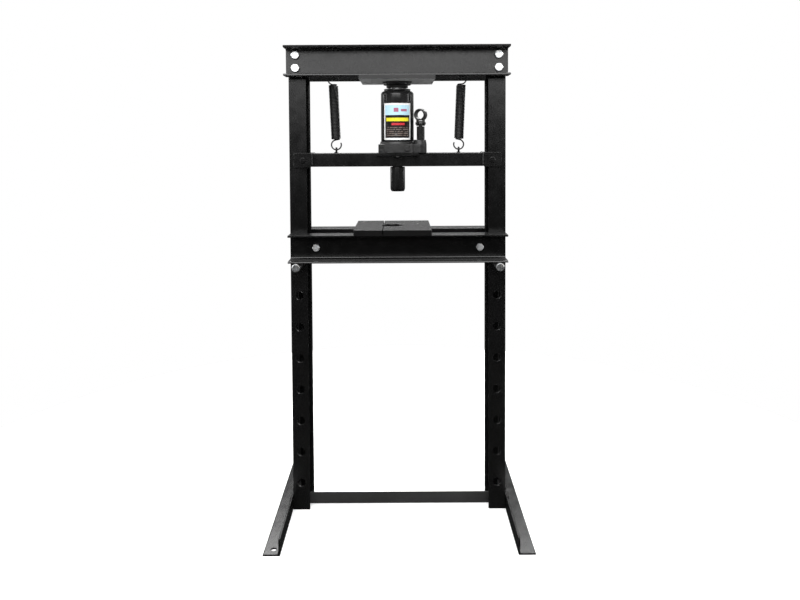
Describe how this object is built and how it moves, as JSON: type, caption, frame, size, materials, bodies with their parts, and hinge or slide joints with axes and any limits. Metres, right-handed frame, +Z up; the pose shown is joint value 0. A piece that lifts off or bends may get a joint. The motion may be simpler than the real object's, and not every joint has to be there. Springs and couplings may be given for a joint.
{
  "type": "hydraulic shop press",
  "caption": "H-frame hydraulic shop press with a sprung yoke carrying a bottle jack, an adjustable pinned bed with two press plates, and angle-iron feet.",
  "frame": {"origin": "on the floor, at the centre of the press's footprint", "axes": "+Z up, +X to the right seen from the front, -Y towards the operator"},
  "size_m": [0.62, 0.498, 1.17],
  "materials": {
    "frame_paint": "semi-gloss black powder coat",
    "crown_paint": "semi-gloss black powder coat",
    "plate_paint": "satin black paint on ground plate",
    "jack_paint": "gloss black enamel",
    "cast_paint": "black enamel on cast iron",
    "zinc": "bright zinc plating",
    "pin_zinc": "worn zinc plating",
    "spring_black": "black oxide spring wire",
    "bright_steel": "ground and plated",
    "machined_steel": "turned",
    "seal_rubber": "black rubber",
    "label_print": "printed vinyl without lettering",
    "blackened_steel": "black oxide"
  },
  "bodies": {
    "frame": {"left_post": "frame_paint", "right_post": "frame_paint", "crown_front": "crown_paint", "crown_rear": "crown_paint", "crown_bolts": "zinc", "crown_nuts": "zinc", "bolster_plate": "crown_paint", "ram_cup": "frame_paint", "spring_hangers": "frame_paint", "left_spring": "spring_black", "right_spring": "spring_black", "left_foot": "frame_paint", "right_foot": "frame_paint", "lower_brace": "frame_paint", "foot_bolts": "blackened_steel", "foot_nuts": "blackened_steel", "jack_ram": "bright_steel", "piston_cup": "seal_rubber", "extension_screw": "machined_steel"},
    "press_carriage": {"yoke_channel": "frame_paint", "yoke_ends": "frame_paint", "guide_plates": "frame_paint", "guide_screws": "frame_paint", "spring_eyes": "spring_black", "eye_nuts": "zinc", "press_head": "frame_paint", "jack_seat": "frame_paint", "jack_bolts": "zinc", "jack_base": "cast_paint", "jack_tank": "jack_paint", "jack_cylinder": "machined_steel", "gland_nut": "jack_paint", "ram_seal": "seal_rubber", "pump_cylinder": "jack_paint", "pump_seal": "seal_rubber", "fulcrum_link": "jack_paint", "fulcrum_pins": "zinc", "filler_plug": "seal_rubber", "tank_label": "label_print"},
    "release_valve": {"release_valve": "blackened_steel"},
    "plunger": {"pump_plunger": "jack_paint"},
    "socket": {"handle_socket": "jack_paint", "plunger_pin": "zinc"},
    "bed": {"bed_front": "frame_paint", "bed_rear": "frame_paint", "bed_spacers": "frame_paint", "bed_bolts": "zinc", "bed_nuts": "zinc"},
    "left_pin": {"left_bed_pin": "pin_zinc"},
    "right_pin": {"right_bed_pin": "pin_zinc"},
    "left_press_plate": {"left_plate": "plate_paint"},
    "right_press_plate": {"right_plate": "plate_paint"}
  },
  "joints": [
    {"name": "press_stroke", "type": "slide", "parent": "frame", "child": "press_carriage", "axis": [0, 0, 1], "range_m": [-0.085, 0], "stiffness_N_per_m": 3000, "springref_m": 0.06, "deforming": ["left_spring", "right_spring"]},
    {"name": "handle_pump", "type": "hinge", "parent": "press_carriage", "child": "socket", "pos_m": [0.0585, 0, 0.9815], "axis": [-1, 0, 0], "range_deg": [0, 25]},
    {"name": "plunger_stroke", "type": "slide", "parent": "press_carriage", "child": "plunger", "axis": [0, 0, 1], "range_m": [0, 0.0105]},
    {"name": "valve_turn", "type": "hinge", "parent": "press_carriage", "child": "release_valve", "pos_m": [0.024, -0.047, 0.919], "axis": [0, -1, 0], "range_deg": [0, 270]},
    {"name": "bed_height", "type": "slide", "parent": "frame", "child": "bed", "axis": [0, 0, 1], "range_m": [-0.48, 0]},
    {"name": "left_pin_pull", "type": "slide", "parent": "bed", "child": "left_pin", "axis": [0, -1, 0], "range_m": [0, 0.15]},
    {"name": "right_pin_pull", "type": "slide", "parent": "bed", "child": "right_pin", "axis": [0, -1, 0], "range_m": [0, 0.15]},
    {"name": "left_plate_shift", "type": "slide", "parent": "bed", "child": "left_press_plate", "axis": [-1, 0, 0], "range_m": [0, 0.1]},
    {"name": "right_plate_shift", "type": "slide", "parent": "bed", "child": "right_press_plate", "axis": [1, 0, 0], "range_m": [0, 0.1]}
  ],
  "couplings": [
    {"joint": "plunger_stroke", "follows": "handle_pump", "m_per_rad": 0.024}
  ]
}
